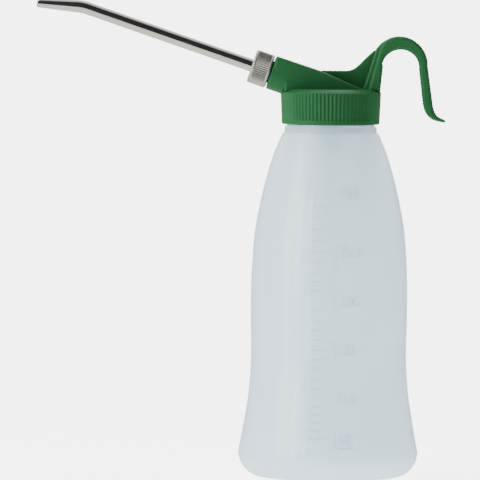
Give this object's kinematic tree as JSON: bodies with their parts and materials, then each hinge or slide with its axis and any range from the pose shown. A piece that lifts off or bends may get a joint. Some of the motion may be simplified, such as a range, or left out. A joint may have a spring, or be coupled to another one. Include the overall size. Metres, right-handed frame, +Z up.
{
  "type": "squeeze oiler",
  "caption": "Squeeze oiler: translucent waisted bottle, ribbed screw cap with finger hook, and a bent metal spout held by a knurled union nut.",
  "frame": {"origin": "centre of the bottle's flat underside, on the bottle's axis", "axes": "+Z up along the bottle's axis; the spout points to -X and the finger hook to +X, both in the plane Y = 0"},
  "size_m": [0.1598, 0.07, 0.1856],
  "materials": {
    "frosted_polyethylene": "frosted, translucent",
    "green_plastic": "satin moulded",
    "seal_foam": "soft matt",
    "blue_plastic": "satin moulded",
    "natural_tube": "natural, translucent",
    "black_rubber": "matt",
    "brass": "turned",
    "nickel_plate": "bright nickel plate",
    "nut_plate": "straight-knurled nickel plate"
  },
  "bodies": {
    "bottle": {"bottle": "frosted_polyethylene"},
    "cap_seal": {"cap_seal": "seal_foam"},
    "cap": {"screw_cap": "green_plastic", "tube_connector": "blue_plastic", "dip_tube": "natural_tube"},
    "spout_gasket": {"spout_gasket": "black_rubber"},
    "spout": {"spout_tube": "nickel_plate", "spout_ferrule": "brass"},
    "union_nut": {"union_nut": "nut_plate"}
  },
  "joints": [
    {"name": "cap_lift", "type": "slide", "parent": "bottle", "child": "cap_seal", "axis": [0, 0, 1], "range_m": [0, 0.00801]},
    {"name": "cap_turn", "type": "hinge", "parent": "cap_seal", "child": "cap", "pos_m": [0, 0, 0.145], "axis": [0, 0, 1], "range_deg": [0, 720]},
    {"name": "spout_release", "type": "slide", "parent": "cap", "child": "spout_gasket", "axis": [-0.9469, 0, 0.3214], "range_m": [0, 0.003]},
    {"name": "nut_turn", "type": "hinge", "parent": "spout_gasket", "child": "union_nut", "pos_m": [-0.02273, 0, 0.15741], "axis": [-0.9469, 0, 0.3214], "range_deg": [0, 720.1]},
    {"name": "spout_swivel", "type": "hinge", "parent": "spout_gasket", "child": "spout", "pos_m": [-0.02273, 0, 0.15741], "axis": [-0.9469, 0, 0.3214], "continuous": true}
  ],
  "couplings": [
    {"joint": "cap_lift", "follows": "cap_turn", "m_per_rad": 0.00063662},
    {"joint": "nut_turn", "follows": "spout_release", "rad_per_m": 4188.8}
  ]
}
